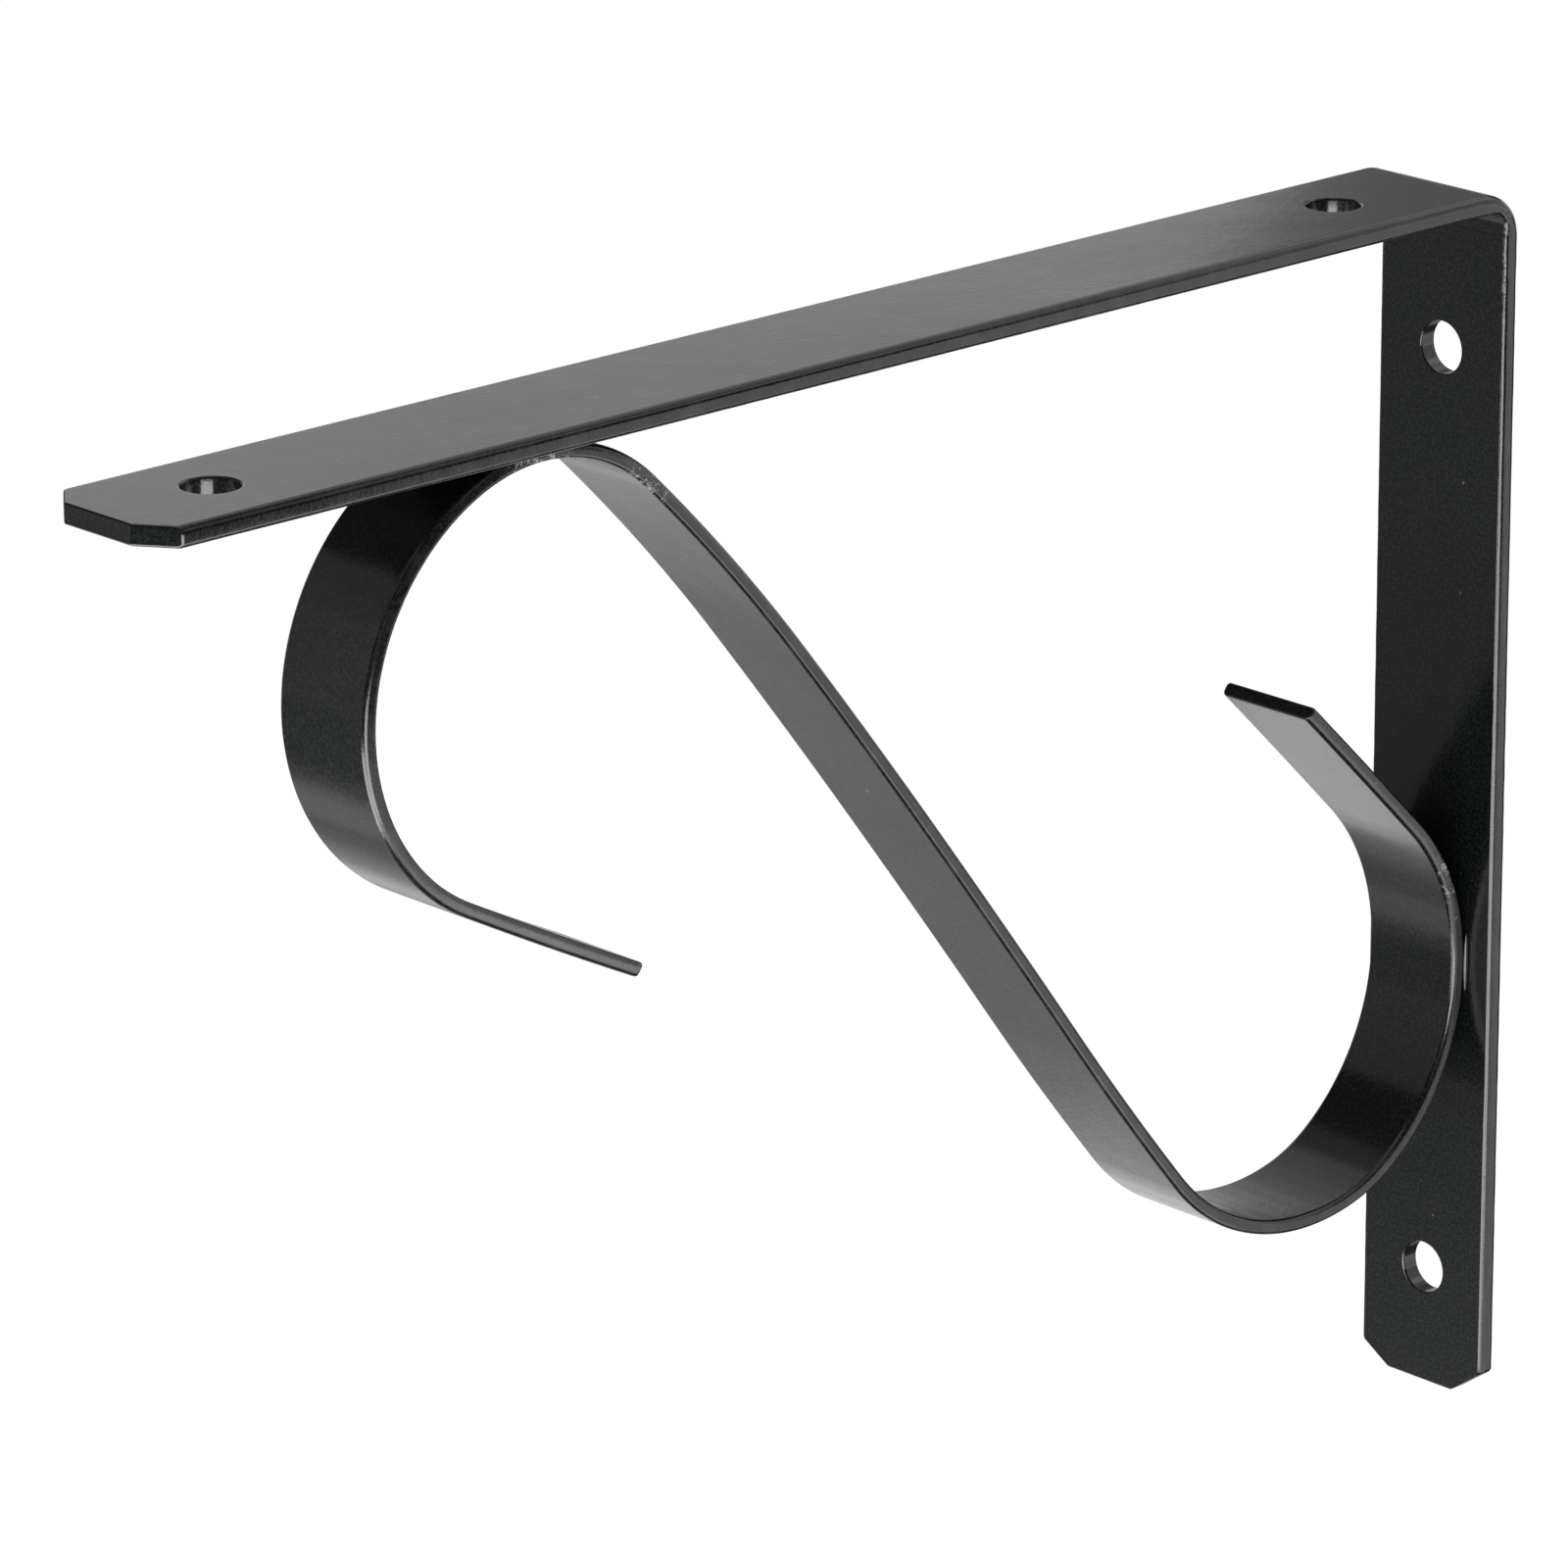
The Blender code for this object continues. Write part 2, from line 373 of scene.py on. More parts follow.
class BarSizes(PropertyGroup):
    """The angle bar's sizes."""

    thickness: FloatProperty(
        name="Thickness", description="Thickness of the flat bar", default=3 * MM, unit="LENGTH"
    )
    edge_radius: FloatProperty(
        name="Edge radius", description="Long edges round the outside", default=1.1 * MM, unit="LENGTH"
    )
    inner_edge_radius: FloatProperty(
        name="Inner edge radius",
        description="Long edges round the inside",
        default=0.8 * MM,
        unit="LENGTH",
    )
    end_radius: FloatProperty(
        name="End radius", description="Rims of the cut ends", default=0.4 * MM, unit="LENGTH"
    )
    bend_radius: FloatProperty(
        name="Bend radius", description="Outside radius of the corner", default=7.3 * MM, unit="LENGTH"
    )
    inside_radius: FloatProperty(
        name="Inside radius",
        description="Radius of the corner's inside, which the bending has squeezed tight",
        default=2.4 * MM,
        unit="LENGTH",
    )
    bend_swell: FloatProperty(
        name="Bend swell",
        description="How much the squeezed inside of the corner widens the bar, per side",
        default=0.28 * MM,
        unit="LENGTH",
    )
    hole_radius: FloatProperty(
        name="Hole radius", description="Radius of a screw hole", default=4 * MM, unit="LENGTH"
    )
    hole_rim: FloatProperty(
        name="Hole rim", description="Rounding of a hole's rim", default=0.35 * MM, unit="LENGTH"
    )
    arm_hole_from_end: FloatProperty(
        name="Arm hole from end",
        description="From the arm's free end to the centre of its nearest hole",
        default=18.8 * MM,
        unit="LENGTH",
    )
    arm_hole_from_corner: FloatProperty(
        name="Arm hole from corner",
        description="From the leg's back to the centre of the arm's nearest hole",
        default=26.5 * MM,
        unit="LENGTH",
    )
    leg_hole_from_corner: FloatProperty(
        name="Leg hole from corner",
        description="From the arm's top to the centre of the leg's nearest hole",
        default=25.9 * MM,
        unit="LENGTH",
    )
    leg_hole_from_end: FloatProperty(
        name="Leg hole from end",
        description="From the leg's free end to the centre of its nearest hole",
        default=18.5 * MM,
        unit="LENGTH",
    )


class StripSizes(PropertyGroup):
    """The scroll strip's section and facets."""

    thickness: FloatProperty(
        name="Thickness", description="Thickness of the strip", default=2.2 * MM, unit="LENGTH"
    )
    edge_radius: FloatProperty(
        name="Edge radius", description="Rounding of the long edges", default=0.7 * MM, unit="LENGTH"
    )
    shear_slant: FloatProperty(
        name="Shear slant",
        description="How far the sheared edges slant inwards over the strip's thickness",
        default=0.3 * MM,
        unit="LENGTH",
    )
    step: FloatProperty(
        name="Step", description="Length of one facet along the strip", default=1.2 * MM, unit="LENGTH"
    )


class WeldSizes(PropertyGroup):
    """The weld beads."""

    length: FloatProperty(
        name="Length", description="Along the seam", default=9.5 * MM, unit="LENGTH"
    )
    width: FloatProperty(
        name="Width", description="Across the seam", default=0.85 * MM, unit="LENGTH"
    )


class CoatLook(PropertyGroup):
    """The black powder coat."""

    colour: FloatVectorProperty(
        name="Colour", description="Coat colour", default=(0.0015, 0.0024, 0.0020), subtype="COLOR"
    )
    speckle_colour: FloatVectorProperty(
        name="Speckle colour",
        description="Colour of the coat's fine lighter grains",
        default=(0.0070, 0.0080, 0.0075),
        subtype="COLOR",
    )
    # Lighter colour along the long edges: partly a thinner coat, partly a painted edge highlight.
    thin_coat_and_edge_highlight_colour: FloatVectorProperty(
        name="Thin colour",
        description="Colour where the coat is thin, along the edges",
        default=(0.012, 0.012, 0.0118),
        subtype="COLOR",
    )
    # Also paints a highlight along the bar's edge just below the bend.
    rubbed_and_highlight_colour: FloatVectorProperty(
        name="Rubbed colour",
        description="Colour of the rough, rubbed coat near the welds and on the burr",
        default=(0.15, 0.145, 0.14),
        subtype="COLOR",
    )
    roughness: FloatProperty(
        name="Roughness", description="0 is a mirror, 1 is chalk", default=0.16, min=0, max=1
    )
    grain: FloatProperty(
        name="Grain", description="Size of the coat's fine grain", default=0.50 * MM, unit="LENGTH"
    )
    grain_height: FloatProperty(
        name="Grain height", description="Depth of the fine grain", default=0.014 * MM, unit="LENGTH"
    )


class StudioLook(PropertyGroup):
    """The floor, the ring of soft panels and the camera."""

    floor_drop: FloatProperty(
        name="Floor drop", description="Floor below the bracket", default=0.9, unit="LENGTH"
    )
    floor_size: FloatProperty(
        name="Floor size", description="Edge of the floor", default=40.0, unit="LENGTH"
    )
    ring_distance: FloatProperty(
        name="Ring distance", description="From bracket to ring panels", default=0.8, unit="LENGTH"
    )
    ring_height: FloatProperty(
        name="Ring height", description="Height of a ring panel", default=0.43, unit="LENGTH"
    )
    camera_place: FloatVectorProperty(
        name="Camera place", description="In metres", default=(0.8301, -0.9043, 0.4078), subtype="XYZ"
    )
    camera_turn: FloatVectorProperty(
        name="Camera turn", description="In degrees", default=(71.768288, 0.269176, 47.109143)
    )
    camera_lens: FloatProperty(name="Lens", description="On a 36 mm sensor", default=196.742)


# The coat


def powder_coat(name, look, centre_x, half_width, rubbed_and_highlight_spots=()):
    """Satin black powder coat on flat steel, thin on its long edges with a painted edge highlight
    there, and rubbed in a few spots, the bar's spot partly a painted highlight.
    """
    coat = Recipe(name)
    across = coat.number("ShaderNodeSeparateXYZ", {}, [coat.place]) - centre_x
    edge = across.size().rise(half_width - 0.9 * MM, half_width - 0.15 * MM)
    patches = coat.noise(6 * MM, detail=4.0, roughness=0.6)
    fine = coat.noise(look.grain, detail=3.0, roughness=0.65)
    peel = coat.noise(1.1 * MM, detail=1.0)
    drift = coat.noise(22 * MM, detail=2.0)
    dust = coat.number(
        "ShaderNodeTexVoronoi", {"feature": "F1"}, {"Vector": coat.place, "Scale": 1 / (9 * MM)}
    ).rise(0.042, 0.02)
    # Patchy band along the long edges, lighter for a thinner coat and as a painted edge highlight.
    worn_and_edge_highlight = edge * patches.rise(0.45, 0.72)

    mottle = coat.noise(0.9 * MM, detail=4.0, roughness=0.7)
    # Dust and rubbed spots; the bar's spot along the burr is partly a painted highlight.
    rubbed_and_highlight = dust * 0.25
    for y, z, reach_y, reach_z in rubbed_and_highlight_spots:
        stretch = (0, 1 / (reach_y * MM), 1 / (reach_z * MM))
        near = coat.distance_to((0, y * MM, z * MM), stretch).rise(1.0, 0.4)
        rubbed_and_highlight = rubbed_and_highlight.most(near * mottle.rise(0.48, 0.62) * edge)

    colour = coat.blend(fine.rise(0.44, 0.64), look.colour, look.speckle_colour)
    # Thinner coat and painted edge highlight along the long edges.
    colour = coat.blend(worn_and_edge_highlight, colour, look.thin_coat_and_edge_highlight_colour)
    # Rubbed coat, and a painted highlight on the bar's edge below the bend.
    colour = coat.blend(rubbed_and_highlight, colour, look.rubbed_and_highlight_colour)
    roughness = look.roughness + (drift - 0.5) * 0.10 + (fine - 0.5) * 0.10 + rubbed_and_highlight * 0.3
    height = fine * look.grain_height + peel * (0.010 * MM) + dust * (0.02 * MM)
    height = height + drift * (0.10 * MM) + rubbed_and_highlight * (0.05 * MM)
    bump = coat.node("ShaderNodeBump", {}, {"Strength": 1.0, "Distance": 1.0, "Height": height})

    coat.feed(coat.shader.inputs["Base Color"], colour)
    coat.feed(coat.shader.inputs["Roughness"], roughness)
    coat.feed(coat.shader.inputs["Normal"], bump.outputs[0])
    coat.shader.inputs["Metallic"].default_value = 0.0
    coat.shader.inputs["IOR"].default_value = 1.5
    return coat.material


# The angle bar


def depth_in_bar(place, sizes):
    """How far a point of the bar lies below the outside: the arm's top, the bend and the leg's back."""
    beyond_y = max(place.y - BAR_HIGH.y + sizes.bend_radius, 0)
    beyond_z = max(place.z - BAR_HIGH.z + sizes.bend_radius, 0)
    return sizes.bend_radius - math.hypot(beyond_y, beyond_z)


def add_arm(sizes):
    """The arm's straight part, up to where the bend starts."""
    length = BAR_HIGH.y - BAR_LOW.y - sizes.bend_radius
    bpy.ops.mesh.primitive_cube_add(
        size=1,
        location=(0, BAR_LOW.y + length / 2, BAR_HIGH.z - sizes.thickness / 2),
        scale=(BAR_HIGH.x - BAR_LOW.x, length, sizes.thickness),
    )
    bar = bpy.context.active_object
    bar.name = "bar_dressed"
    settle(bar)
    return bar


def bend_into_leg(bar, sizes):
    """Turns the arm's end down through the corner and runs it on as the leg."""
    corner_height = BAR_HIGH.z - sizes.bend_radius
    corner_back = BAR_HIGH.y - sizes.bend_radius
    with editing(bar):
        pick(bar, "faces", faces_towards((0, 1, 0)))
        bpy.ops.mesh.spin(
            steps=BEND_FACETS,
            angle=math.radians(90),
            center=(0, corner_back, corner_height),
            axis=(1, 0, 0),
        )
        drop = corner_height - BAR_LOW.z
        bpy.ops.mesh.extrude_region_move(TRANSFORM_OT_translate={"value": (0, 0, -drop)})
        bpy.ops.mesh.select_all(action="SELECT")
        bpy.ops.mesh.normals_make_consistent(inside=False)


def round_long_edges(bar, sizes):
    """Rounds the edges round the outside widely and those round the inside a little less."""
    middle = sizes.thickness / 2

    def is_cap(face):
        centre = face.calc_center_median()
        return centre.y < BAR_LOW.y + END_TOLERANCE or centre.z < BAR_LOW.z + END_TOLERANCE

    def is_long_edge(edge):
        flats = [abs(face.normal.x) for face in edge.link_faces]
        return max(flats) > 0.99 and min(flats) < 0.01 and not any(map(is_cap, edge.link_faces))

    def is_outer(edge):
        return max(depth_in_bar(point.co, sizes) for point in edge.verts) < middle

    with editing(bar):
        pick(bar, "edges", is_long_edge)
        bpy.ops.transform.edge_bevelweight(value=sizes.inner_edge_radius / sizes.edge_radius)
        pick(bar, "edges", lambda edge: is_long_edge(edge) and is_outer(edge))
        bpy.ops.transform.edge_bevelweight(value=1.0)
    apply_modifier(
        bar,
        "BEVEL",
        width=sizes.edge_radius,
        segments=LONG_EDGE_SEGMENTS,
        limit_method="WEIGHT",
        use_clamp_overlap=False,
    )


def cut_corner(bar, point, outward):
    with editing(bar):
        bpy.ops.mesh.select_all(action="SELECT")
        bpy.ops.mesh.bisect(plane_co=point, plane_no=outward, use_fill=True, clear_outer=True)


def clip_ends(bar, sizes):
    """Clips the corners of both free ends and rounds the rims of all the cuts."""
    outwards = [Vector((0, -1, 0)), Vector((0, 0, -1))]
    for side, across, along in ARM_CLIPS:
        outwards.append(Vector((side * along, -across, 0)).normalized())
        cut_corner(bar, (side * BAR_HIGH.x, BAR_LOW.y + along * MM, BAR_HIGH.z), outwards[-1])
    for side, across, along in LEG_CLIPS:
        outwards.append(Vector((side * along, 0, -across)).normalized())
        cut_corner(bar, (side * BAR_HIGH.x, BAR_HIGH.y, BAR_LOW.z + along * MM), outwards[-1])
    section_area = (BAR_HIGH.x - BAR_LOW.x) * sizes.thickness

    def is_cut(face):
        faces_out = any(face.normal.dot(outward) > ALIGNED for outward in outwards)
        return faces_out and face.calc_area() < section_area

    with editing(bar):
        pick(bar, "edges", lambda edge: any(map(is_cut, edge.link_faces)))
        bpy.ops.mesh.bevel(offset=sizes.end_radius, segments=3, affect="EDGES")


def cut_rings(bar):
    """Divides the long straight edges, so that their coat can run unevenly."""
    with editing(bar):
        for along, length in [((0, 1, 0), BAR_HIGH.y - BAR_LOW.y), ((0, 0, 1), BAR_HIGH.z - BAR_LOW.z)]:
            is_along = edges_along(along)
            pick(bar, "edges", lambda edge: edge.calc_length() > length / 2 and is_along(edge))
            bpy.ops.mesh.subdivide(number_cuts=round(length / COAT_RING_STEP))


def hole_plug(name, centre, turn, sizes):
    """A plug with flared ends, which leaves a hole with softly rounded rims."""
    half = sizes.thickness / 2
    flare = sizes.hole_radius + sizes.hole_rim
    bpy.ops.mesh.primitive_circle_add(
        vertices=HOLE_SIDES, radius=flare, fill_type="NGON", location=(0, 0, -2 * half)
    )
    plug = bpy.context.active_object
    plug.name = name
    settle(plug)
    levels = []
    for step in range(HOLE_RIM_STEPS + 1):
        angle = math.radians(90 * step / HOLE_RIM_STEPS)
        radius = flare - sizes.hole_rim * math.sin(angle)
        levels.append((radius, sizes.hole_rim - sizes.hole_rim * math.cos(angle) - half))
    levels += [(radius, -height) for radius, height in reversed(levels)]
    levels.append((flare, 2 * half))
    height, radius = -2 * half, flare
    with editing(plug):
        bpy.ops.mesh.select_all(action="SELECT")
        for next_radius, next_height in levels:
            bpy.ops.mesh.extrude_region_move(
                TRANSFORM_OT_translate={"value": (0, 0, next_height - height)}
            )
            share = next_radius / radius
            bpy.ops.transform.resize(value=(share, share, 1), center_override=(0, 0, next_height))
            height, radius = next_height, next_radius
        bpy.ops.mesh.select_all(action="SELECT")
        bpy.ops.mesh.normals_make_consistent(inside=False)
    plug.rotation_euler.x = math.radians(turn)
    plug.location = centre
    settle(plug)
    return plug


def drill(bar, sizes):
    middle = sizes.thickness / 2
    holes = [
        (BAR_LOW.y + sizes.arm_hole_from_end, None),
        (BAR_HIGH.y - sizes.arm_hole_from_corner, None),
        (None, BAR_HIGH.z - sizes.leg_hole_from_corner),
        (None, BAR_LOW.z + sizes.leg_hole_from_end),
    ]
    for number, (along_arm, along_leg) in enumerate(holes):
        if along_leg is None:
            centre, turn = (0, along_arm, BAR_HIGH.z - middle), 0
        else:
            centre, turn = (0, BAR_HIGH.y - middle, along_leg), 90
        plug = hole_plug(f"hole_plug_{number}", centre, turn, sizes)
        apply_modifier(bar, "BOOLEAN", operation="DIFFERENCE", solver="EXACT", object=plug)
        bpy.data.objects.remove(plug)


def swell_corner(bar, sizes):
    """The inside of the bend is squeezed, so the steel bulges out sideways there."""
    corner = Vector((0, BAR_HIGH.y - sizes.bend_radius, BAR_HIGH.z - sizes.bend_radius))

    def closeness(place):
        towards = place - corner
        if min(towards.y, towards.z) < -SWELL_PAST_BEND:
            return 0.0
        off_middle = math.degrees(math.atan2(towards.z, towards.y)) - 45
        depth = depth_in_bar(place, sizes) / sizes.thickness
        return max(depth, 0.0) * max(1 - (off_middle / SWELL_HALF_TURN) ** 2, 0.0)

    side = BAR_HIGH.x - sizes.edge_radius
    for point in bar.data.vertices:
        if abs(point.co.x) > side:
            swell = sizes.bend_swell * closeness(point.co)
            point.co.x += math.copysign(swell, point.co.x)


def tighten_inside(bar, sizes):
    """Pulls the bend's inside towards the corner, to a smaller radius between two short straights."""
    corner = Vector((0, BAR_HIGH.y - sizes.bend_radius, BAR_HIGH.z - sizes.bend_radius))
    arc = sizes.bend_radius - sizes.thickness
    straight = arc - sizes.inside_radius
    run = 2 * straight + sizes.inside_radius * math.pi / 2

    def tight_point(share):
        """The point at a share of the way from the leg, round the tight inside, to the arm."""
        way = share * run
        turn = min(max((way - straight) / sizes.inside_radius, 0), math.pi / 2)
        y = straight + sizes.inside_radius * math.cos(turn) - max(way - run + straight, 0)
        z = min(way, straight) + sizes.inside_radius * math.sin(turn)
        return Vector((0, y, z))

    for point in bar.data.vertices:
        towards = point.co - corner
        if towards.y > 0 and towards.z > 0:
            turn = math.atan2(towards.z, towards.y)
            round_point = arc * Vector((0, math.cos(turn), math.sin(turn)))
            move = tight_point(turn / (math.pi / 2)) - round_point
            point.co += move * max(depth_in_bar(point.co, sizes), 0) / sizes.thickness


def burr_weight(sizes):
    """Weight of the lumpy burr on the inner edge at +X, in the bend and a little way down the leg."""
    middle_y = BAR_HIGH.y - sizes.thickness
    middle_z = BAR_HIGH.z - sizes.bend_radius - BURR_DROP

    def weight_of(place):
        beside = place.x - BAR_HIGH.x + sizes.inner_edge_radius
        if beside < 0 or depth_in_bar(place, sizes) < sizes.thickness - 2 * sizes.inner_edge_radius:
            return 0.0
        distance = math.hypot(place.y - middle_y, place.z - middle_z)
        return (BURR_REACH - distance) / BURR_FADE

    return weight_of


def edge_weight(centre_x, half_width, radius):
    """Weight that grows from nought where the flat faces end to one on the narrow sides."""

    def weight_of(place):
        return max((abs(place.x - centre_x) - half_width + radius) / radius, 0.0)

    return weight_of


# The scroll strip


def arc_stations(step):
    """(y, z, heading) along the runs, and the start and centre of each run, from y = z = 0."""
    y, z, heading = 0.0, 0.0, math.radians(STRIP_START_HEADING)
    stations = [(y, z, heading)]
    bends = []
    for length_mm, turn_degrees in STRIP_RUNS:
        length, turn = length_mm * MM, math.radians(turn_degrees)
        steps = math.ceil(length / step)
        radius = length / turn
        centre = (y - radius * math.sin(heading), z + radius * math.cos(heading))
        bends.append((centre, turn, steps))
        for _ in range(steps):
            heading += turn / steps
            y = centre[0] + radius * math.sin(heading)
            z = centre[1] - radius * math.cos(heading)
            stations.append((y, z, heading))
    return stations, bends


def strip_start(stations, half):
    """Where the strip starts, so that it reaches as far up and back as it does in the frame."""
    highest = max(z + half * math.cos(heading) for y, z, heading in stations)
    furthest_back = max(y + half * math.sin(heading) for y, z, heading in stations)
    return STRIP_HIGH.y - furthest_back, STRIP_HIGH.z - highest


def add_section(sizes, start):
    """The strip's rounded section, square to its start."""
    heading = math.radians(STRIP_START_HEADING)
    bpy.ops.mesh.primitive_plane_add(
        size=1,
        location=((STRIP_LOW.x + STRIP_HIGH.x) / 2, *start),
        rotation=(heading + math.pi / 2, 0, 0),
    )
    strip = bpy.context.active_object
    strip.name = "scroll_dressed"
    strip.scale = (STRIP_HIGH.x - STRIP_LOW.x, sizes.thickness, 1)
    settle(strip)
    left_of_travel = Vector((0, -math.sin(heading), math.cos(heading)))
    middle = Vector((0, *start))
    narrowing = 1 - 2 * sizes.shear_slant / (STRIP_HIGH.x - STRIP_LOW.x)
    with editing(strip):
        pick(strip, "verts", lambda point: (point.co - middle).dot(left_of_travel) > 0)
        bpy.ops.transform.resize(
            value=(narrowing, 1, 1), center_override=((STRIP_LOW.x + STRIP_HIGH.x) / 2, *start)
        )
        bpy.ops.mesh.select_all(action="SELECT")
        bpy.ops.mesh.bevel(offset=sizes.edge_radius, segments=4, affect="VERTICES")
    return strip


def bend_strip(strip, bends, start):
    """Spins the section through one run after another."""
    with editing(strip):
        bpy.ops.mesh.select_all(action="SELECT")
        for centre, turn, steps in bends:
            bpy.ops.mesh.spin(
                steps=steps,
                angle=-turn,
                center=(0, start[0] + centre[0], start[1] + centre[1]),
                axis=(1, 0, 0),
            )
        bpy.ops.mesh.select_all(action="SELECT")
        bpy.ops.mesh.normals_make_consistent(inside=False)


def soften_tips(strip):
    """Rounds the edges of both cut tips."""
    with editing(strip):
        pick(strip, "faces", lambda face: len(face.verts) > 4)
        bpy.ops.mesh.bevel(offset=TIP_RADIUS, segments=3, affect="EDGES")


# Operators


class BRACKET_OT_angle_bar(Operator):
    """Models the flat bar that is bent to a right angle"""

    bl_idname = "bracket.angle_bar"
    bl_label = "Angle bar"

    def execute(self, context):
        sizes, look = context.scene.bracket_bar, context.scene.bracket_coat
        bar = add_arm(sizes)
        bend_into_leg(bar, sizes)
        round_long_edges(bar, sizes)
        clip_ends(bar, sizes)
        cut_rings(bar)
        drill(bar, sizes)
        swell_corner(bar, sizes)
        tighten_inside(bar, sizes)
        weigh(bar, "long_edges", edge_weight(0, BAR_HIGH.x, sizes.edge_radius))
        roughen(bar, "long_edges", grain=2.2 * MM, height=0.10 * MM)
        weigh(bar, "bend_burr", burr_weight(sizes))
        roughen(bar, "bend_burr", grain=1.8 * MM, height=0.8 * MM)
        # The bar's rubbed spot is partly a painted highlight along the edge.
        coat = powder_coat("bar_coat_look", look, 0.0, BAR_HIGH.x, BAR_RUBS_AND_HIGHLIGHT)
        finish_piece(bar, coat, "bar_coat", "angle_bar")
        return {"FINISHED"}


class BRACKET_OT_scroll(Operator):
    """Models the strip that is bent to an S-scroll"""

    bl_idname = "bracket.scroll"
    bl_label = "Scroll strip"

    def execute(self, context):
        sizes, look = context.scene.bracket_strip, context.scene.bracket_coat
        stations, bends = arc_stations(sizes.step)
        start = strip_start(stations, sizes.thickness / 2)
        strip = add_section(sizes, start)
        bend_strip(strip, bends, start)
        soften_tips(strip)
        centre_x = (STRIP_LOW.x + STRIP_HIGH.x) / 2
        half_width = (STRIP_HIGH.x - STRIP_LOW.x) / 2
        weigh(strip, "long_edges", edge_weight(centre_x, half_width, sizes.edge_radius))
        roughen(strip, "long_edges", grain=1.8 * MM, height=0.06 * MM)
        coat = powder_coat("strip_coat_look", look, centre_x, half_width, STRIP_RUBS)
        finish_piece(strip, coat, "strip_coat", "scroll_strip")
        return {"FINISHED"}


def weld_places():
    """Where the strip touches the bar: (name, point in the seam, length direction of the bead)."""
    arm_contact = Vector((0, ARM_CONTACT * MM, STRIP_HIGH.z))
    leg_contact = Vector((0, STRIP_HIGH.y, LEG_CONTACT * MM))
    return [("arm", arm_contact, (0, 1, 0)), ("leg", leg_contact, (0, 0, 1))]


class BRACKET_OT_welds(Operator):
    """Models the short weld beads in the seams between strip and bar"""

    bl_idname = "bracket.welds"
    bl_label = "Weld beads"

    def execute(self, context):
        sizes, look = context.scene.bracket_welds, context.scene.bracket_coat
        coat = powder_coat("weld_coat_look", look, 0.0, BAR_HIGH.x)
        for name, seam, along in weld_places():
            for side, edge in [("left", STRIP_LOW.x), ("right", STRIP_HIGH.x)]:
                seam.x = edge
                bead = add_bead(f"weld_{name}_{side}", seam, Vector(along), sizes)
                finish_piece(bead, coat, "strip_coat")
        return {"FINISHED"}


def add_bead(name, seam, along, sizes):
    """A lumpy drop of weld metal that bridges the gap beside the strip's edge."""
    bpy.ops.mesh.primitive_uv_sphere_add(segments=48, ring_count=24, radius=1)
    bead = bpy.context.active_object
    bead.name = name
    radius = Vector((sizes.width, sizes.width, sizes.width)) / 2
    bead.scale = radius + along * (sizes.length / 2 - sizes.width / 2)
    bead.location = seam
    settle(bead)
    weigh(bead, "all_over", lambda place: 1.0)
    roughen(bead, "all_over", grain=1.6 * MM, height=0.12 * MM)
    return bead


class BRACKET_OT_stage(Operator):
    """Sets up the pale floor, the soft panels, the surroundings and the camera"""

    bl_idname = "bracket.stage"
    bl_label = "Studio"

    def execute(self, context):
        look = context.scene.bracket_studio
        add_floor(look)
        for name, first, last, swing, brightness in RING_PANELS:
            for number in range(round((last - first) / RING_STEP)):
                turn = first + RING_STEP * (number + 0.5)
                add_ring_panel(look, f"{name}_{number}", turn, swing, brightness)
        for panel in SIDE_PANELS:
            add_side_panel(*panel)
        add_surroundings(context.scene)
        add_camera(context.scene, look)
        context.scene.view_settings.view_transform = "Standard"
        return {"FINISHED"}


def add_floor(look):
    bpy.ops.mesh.primitive_plane_add(size=look.floor_size, location=(0, 0, BAR_LOW.z - look.floor_drop))
    floor = bpy.context.active_object
    floor.name = "floor"
    floor.visible_glossy = False
    recipe = Recipe("pale_floor")
    recipe.shader.inputs["Base Color"].default_value = (0.8, 0.8, 0.8, 1)
    recipe.shader.inputs["Roughness"].default_value = 0.9
    recipe.shader.inputs["Emission Color"].default_value = (1, 1, 1, 1)
    recipe.shader.inputs["Emission Strength"].default_value = FLOOR_GLOW
    floor.data.materials.append(recipe.material)


def add_panel(name, place, out, along, size, brightness):
    """A soft panel that shines back against its outward direction."""
    bpy.ops.object.light_add(type="AREA")
    lamp = bpy.context.active_object
    lamp.name = name
    lamp.matrix_world = Matrix((along, out.cross(along), out)).transposed().to_4x4()
    lamp.location = place
    lamp.data.shape = "RECTANGLE"
    lamp.data.size, lamp.data.size_y = size
    lamp.data.energy = brightness * math.pi * size[0] * size[1]
    lamp.visible_camera = False


def add_ring_panel(look, name, turn, swing, brightness):
    turn, swing = math.radians(turn), math.radians(swing)
    out = Vector(
        (-math.cos(swing), -math.sin(swing) * math.cos(turn), math.sin(swing) * math.sin(turn))
    )
    along = Vector((0, math.sin(turn), math.cos(turn)))
    reach = look.ring_distance * math.sin(math.radians(MIRRORED_SWING))
    width = 2 * reach * math.tan(math.radians(RING_STEP / 2))
    place = BRACKET_MIDDLE + look.ring_distance * out
    add_panel(name, place, out, along, (width, look.ring_height), brightness)


def add_side_panel(name, place, width, height, brightness):
    out = (Vector(place) - BRACKET_MIDDLE).normalized()
    along = Vector((0, 0, 1)).cross(out).normalized()
    add_panel(name, place, out, along, (width, height), brightness)


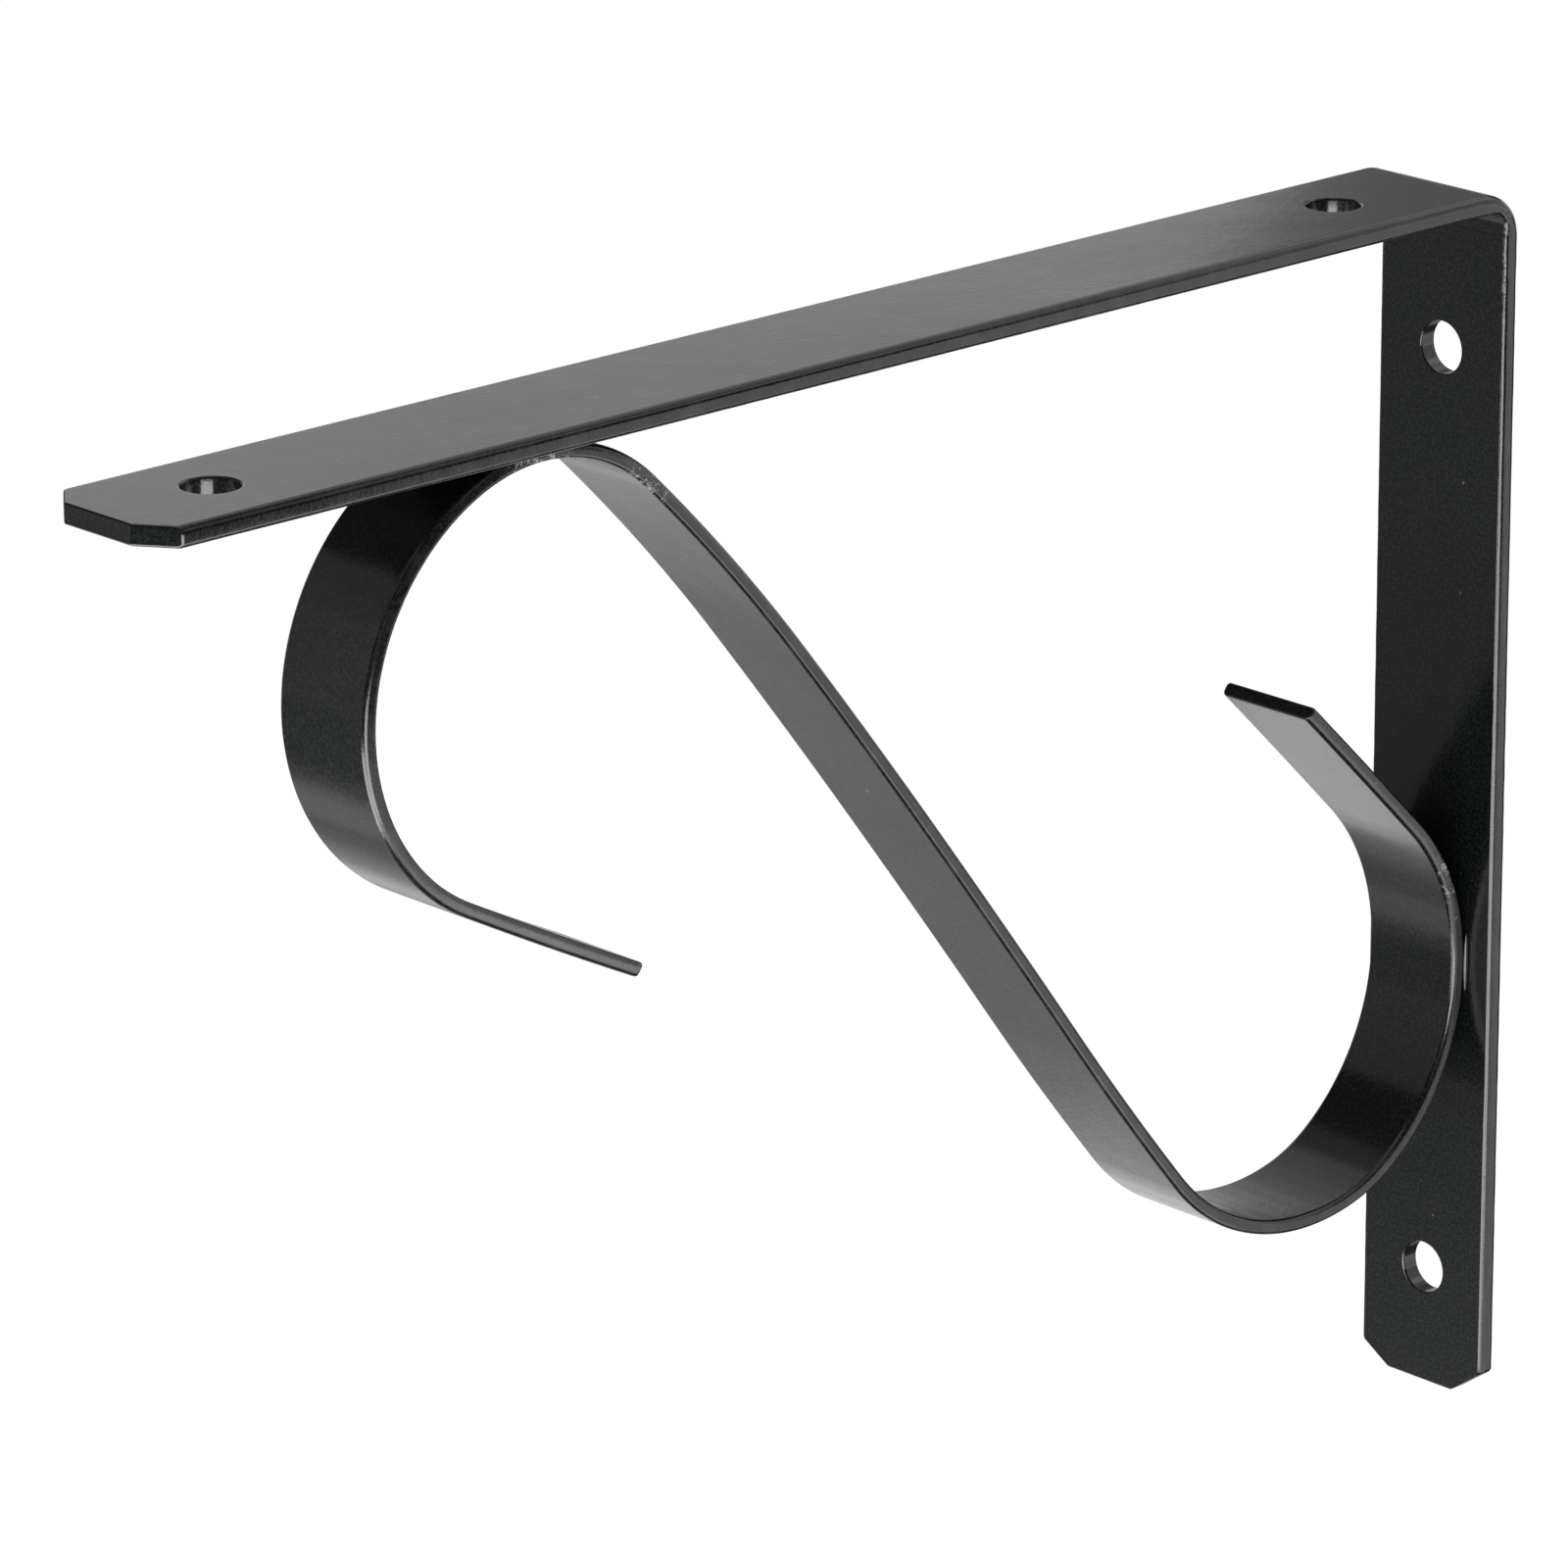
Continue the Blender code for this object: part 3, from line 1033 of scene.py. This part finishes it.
def add_surroundings(scene):
    """White to the camera and nearly dark to everything else, as a studio is behind its panels."""
    world = bpy.data.worlds.new("surroundings")
    scene.world = world
    world.use_nodes = True
    tree = world.node_tree
    background = tree.nodes["Background"]
    background.inputs["Color"].default_value = (1, 1, 1, 1)
    path = tree.nodes.new("ShaderNodeLightPath")
    strength = tree.nodes.new("ShaderNodeMapRange")
    strength.inputs["To Min"].default_value = DIM_SURROUNDINGS
    strength.inputs["To Max"].default_value = WHITE_BACKGROUND
    tree.links.new(path.outputs["Is Camera Ray"], strength.inputs["Value"])
    tree.links.new(strength.outputs[0], background.inputs["Strength"])


def add_camera(scene, look):
    turn = [math.radians(angle) for angle in look.camera_turn]
    bpy.ops.object.camera_add(location=look.camera_place, rotation=turn)
    camera = bpy.context.active_object
    camera.data.lens = look.camera_lens
    camera.data.sensor_width = 36
    scene.camera = camera


class BRACKET_PT_panel(Panel):
    bl_idname = "BRACKET_PT_panel"
    bl_label = "Bracket"
    bl_space_type = "VIEW_3D"
    bl_region_type = "UI"
    bl_category = "Bracket"

    def draw(self, context):
        for group in SETTINGS:
            box = self.layout.box()
            box.label(text=group.__doc__)
            settings = getattr(context.scene, SETTINGS[group])
            for name in group.__annotations__:
                box.prop(settings, name)
        for operator in OPERATORS:
            self.layout.operator(operator.bl_idname)


SETTINGS = {
    BarSizes: "bracket_bar",
    StripSizes: "bracket_strip",
    WeldSizes: "bracket_welds",
    CoatLook: "bracket_coat",
    StudioLook: "bracket_studio",
}
OPERATORS = [BRACKET_OT_angle_bar, BRACKET_OT_scroll, BRACKET_OT_welds, BRACKET_OT_stage]


def register():
    for group, name in SETTINGS.items():
        bpy.utils.register_class(group)
        setattr(bpy.types.Scene, name, PointerProperty(type=group))
    for kind in [*OPERATORS, BRACKET_PT_panel]:
        bpy.utils.register_class(kind)


def unregister():
    for kind in [BRACKET_PT_panel, *reversed(OPERATORS)]:
        bpy.utils.unregister_class(kind)
    for group, name in SETTINGS.items():
        delattr(bpy.types.Scene, name)
        bpy.utils.unregister_class(group)


def main():
    register()
    bpy.ops.bracket.angle_bar()
    bpy.ops.bracket.scroll()
    bpy.ops.bracket.welds()
    bpy.ops.bracket.stage()


if __name__ == "__main__":
    main()
